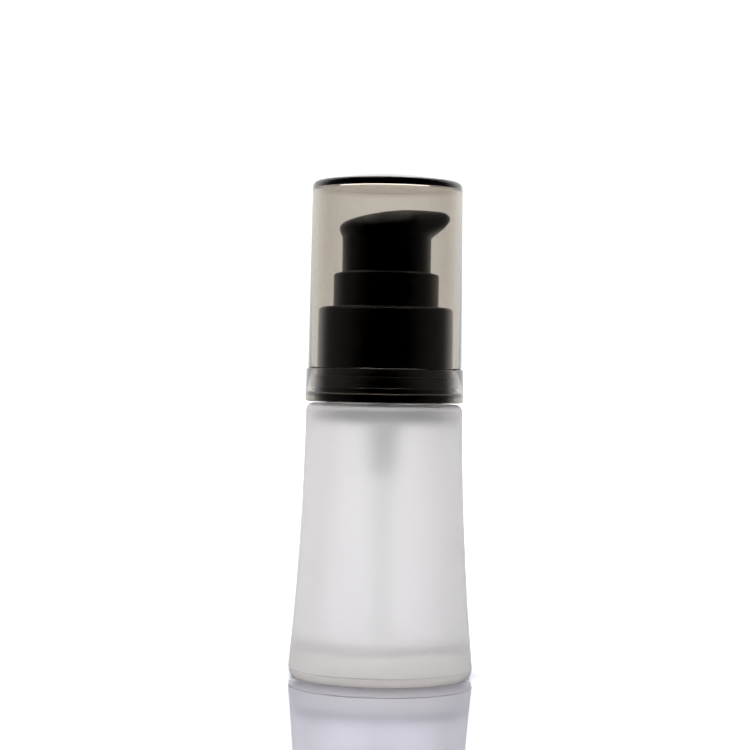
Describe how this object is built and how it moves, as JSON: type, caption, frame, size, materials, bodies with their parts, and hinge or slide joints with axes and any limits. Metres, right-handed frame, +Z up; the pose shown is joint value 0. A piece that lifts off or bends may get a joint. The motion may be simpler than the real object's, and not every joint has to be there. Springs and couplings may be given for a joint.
{
  "type": "foundation bottle",
  "caption": "Flared frosted glass bottle with a screw-on treatment pump, a clear tinted shoulder ring and a tall clear tinted overcap.",
  "frame": {"origin": "middle of the foot, on the surface that the bottle stands on", "axes": "+Z up along the bottle's axis; +X is the way the spout points"},
  "size_m": [0.0368, 0.0368, 0.1004],
  "materials": {
    "frosted_glass": "acid-frosted outside, satin",
    "smoky_plastic": "clear warm-grey tinted styrene, polished",
    "black_plastic": "fine satin black",
    "natural_plastic": "natural polypropylene, semi-translucent",
    "piston_plastic": "soft white polyethylene",
    "tube_plastic": "clear extruded polyethylene",
    "liner_foam": "foamed polyethylene liner",
    "spring_steel": "drawn stainless wire",
    "ball_steel": "polished stainless"
  },
  "bodies": {
    "bottle": {"glass_bottle": "frosted_glass"},
    "pump_body": {"pump_housing": "natural_plastic", "neck_gasket": "liner_foam", "chaplet": "natural_plastic", "dip_tube": "tube_plastic", "ball_cage": "natural_plastic", "return_spring": "spring_steel"},
    "closure": {"screw_closure": "black_plastic", "closure_shell": "black_plastic", "shoulder_ring": "smoky_plastic"},
    "cap": {"overcap": "smoky_plastic"},
    "plunger": {"stem": "natural_plastic", "piston_core": "natural_plastic"},
    "piston_ring": {"piston": "piston_plastic"},
    "actuator": {"actuator_head": "black_plastic"},
    "ball": {"check_ball": "ball_steel"}
  },
  "joints": [
    {"name": "pump_lift", "type": "slide", "parent": "bottle", "child": "pump_body", "axis": [0, 0, 1], "range_m": [0, 0.0048]},
    {"name": "closure_turn", "type": "hinge", "parent": "pump_body", "child": "closure", "pos_m": [0, 0, 0.0549], "axis": [0, 0, 1], "range_deg": [0, 540]},
    {"name": "cap_lift", "type": "slide", "parent": "closure", "child": "cap", "axis": [0, 0, 1], "range_m": [0, 0.048]},
    {"name": "head_press", "type": "slide", "parent": "pump_body", "child": "plunger", "axis": [0, 0, 1], "range_m": [-0.0045, 0], "stiffness_N_per_m": 2000, "springref_m": 0.003, "deforming": ["return_spring"]},
    {"name": "head_swivel", "type": "hinge", "parent": "plunger", "child": "actuator", "pos_m": [0, 0, 0.085], "axis": [0, 0, 1], "continuous": true},
    {"name": "piston_slip", "type": "slide", "parent": "plunger", "child": "piston_ring", "axis": [0, 0, 1], "range_m": [0, 0.0006]},
    {"name": "ball_lift", "type": "slide", "parent": "pump_body", "child": "ball", "axis": [0, 0, 1], "range_m": [0, 0.0008]}
  ],
  "couplings": [
    {"joint": "pump_lift", "follows": "closure_turn", "m_per_rad": 0.00050532}
  ]
}
